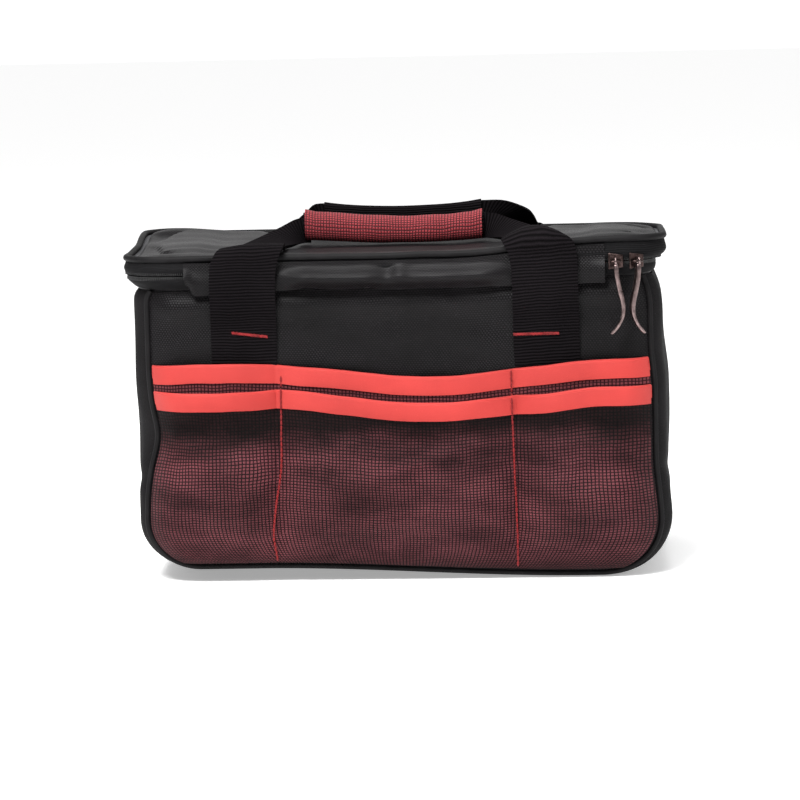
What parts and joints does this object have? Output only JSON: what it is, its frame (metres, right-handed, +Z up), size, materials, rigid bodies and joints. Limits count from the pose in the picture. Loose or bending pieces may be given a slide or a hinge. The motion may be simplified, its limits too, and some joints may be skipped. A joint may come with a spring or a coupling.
{
  "type": "tool bag",
  "caption": "Soft tool bag with a zipped padded lid, webbing carry handles, a storm flap over the zip and a layered front pocket divided by stitching.",
  "frame": {"origin": "centre of the flat base, on the surface that the bag stands on", "axes": "+Z up, +X to the bag's right as seen from the front, the front with the pocket faces -Y"},
  "size_m": [0.334, 0.2075, 0.2274],
  "materials": {
    "black_nylon": "black coated nylon with a fine dotted weave and a soft sheen",
    "piping": "smooth dark grey piping cord",
    "zip_tape": "ribbed black zip tape",
    "zip_coil": "black nylon coil",
    "foam": "closed-cell padding",
    "base_board": "stiff black sheet",
    "lining": "thin dark grey lining cloth",
    "pocket_mesh": "black and red open weave",
    "red_tape": "bright red grosgrain binding tape",
    "red_thread": "red sewing thread",
    "black_webbing": "black ribbed webbing",
    "woven_sleeve": "red and black basket weave",
    "slider_metal": "dark lacquered metal",
    "pull_metal": "worn copper-grey plated metal"
  },
  "bodies": {
    "bag": {"front_panel": "black_nylon", "back_panel": "black_nylon", "gusset": "black_nylon", "front_piping": "piping", "back_piping": "piping", "mouth_band": "black_nylon", "lower_zip_tape": "zip_tape", "lower_zip_coil": "zip_coil", "hinge_strip": "black_nylon", "front_foam": "foam", "back_foam": "foam", "left_foam": "foam", "right_foam": "foam", "base_board": "base_board", "lining": "lining", "pocket_back_layer": "pocket_mesh", "pocket_front_layer": "pocket_mesh", "upper_binding": "red_tape", "lower_binding": "red_tape", "left_divider_stitch": "red_thread", "right_divider_stitch": "red_thread", "front_left_strap": "black_webbing", "front_right_strap": "black_webbing", "rear_left_strap": "black_webbing", "rear_right_strap": "black_webbing", "front_left_tack": "red_thread", "front_right_tack": "red_thread", "rear_left_tack": "red_thread", "rear_right_tack": "red_thread"},
    "lid": {"lid_top_panel": "black_nylon", "lid_piping": "piping", "lid_wall": "black_nylon", "lid_foam": "foam", "lid_lining": "lining", "upper_zip_tape": "zip_tape", "upper_zip_coil": "zip_coil", "zip_flap": "black_nylon"},
    "front_handle": {"front_left_webbing": "black_webbing", "front_right_webbing": "black_webbing", "front_grip_core": "black_webbing", "front_grip_sleeve": "woven_sleeve"},
    "rear_handle": {"rear_left_webbing": "black_webbing", "rear_right_webbing": "black_webbing", "rear_grip_fold": "black_webbing"},
    "left_zip_slider": {"left_slider": "slider_metal"},
    "right_zip_slider": {"right_slider": "slider_metal"},
    "left_zip_pull": {"left_pull": "pull_metal"},
    "right_zip_pull": {"right_pull": "pull_metal"}
  },
  "joints": [
    {"name": "lid_hinge", "type": "hinge", "parent": "bag", "child": "lid", "pos_m": [0, 0.0985, 0.1935], "axis": [-1, 0, 0], "range_deg": [0, 105], "deforming": ["hinge_strip", "rear_left_strap", "rear_right_strap", "front_left_webbing", "front_right_webbing", "front_grip_core", "front_grip_sleeve"]},
    {"name": "front_handle_swing", "type": "hinge", "parent": "bag", "child": "front_handle", "pos_m": [0, -0.103, 0.2085], "axis": [1, 0, 0], "range_deg": [0, 245]},
    {"name": "rear_handle_swing", "type": "hinge", "parent": "lid", "child": "rear_handle", "pos_m": [0, 0.1, 0.2085], "axis": [-1, 0, 0], "range_deg": [0, 140]},
    {"name": "left_slider_travel", "type": "slide", "parent": "bag", "child": "left_zip_slider", "axis": [-1, 0, 0], "range_m": [0, 0.267], "deforming": ["zip_flap", "front_left_strap", "front_right_strap"]},
    {"name": "right_slider_travel", "type": "hinge", "parent": "bag", "child": "right_zip_slider", "pos_m": [0.137, -0.068, 0.1935], "axis": [0, 0, 1], "range_deg": [0, 71]},
    {"name": "left_pull_swing", "type": "hinge", "parent": "left_zip_slider", "child": "left_zip_pull", "pos_m": [0.1346, -0.1027, 0.1935], "axis": [-1, 0, 0], "range_deg": [0, 140]},
    {"name": "right_pull_swing", "type": "hinge", "parent": "right_zip_slider", "child": "right_zip_pull", "pos_m": [0.1483, -0.10081, 0.1935], "axis": [-0.9455, -0.3256, 0], "range_deg": [0, 140]}
  ]
}
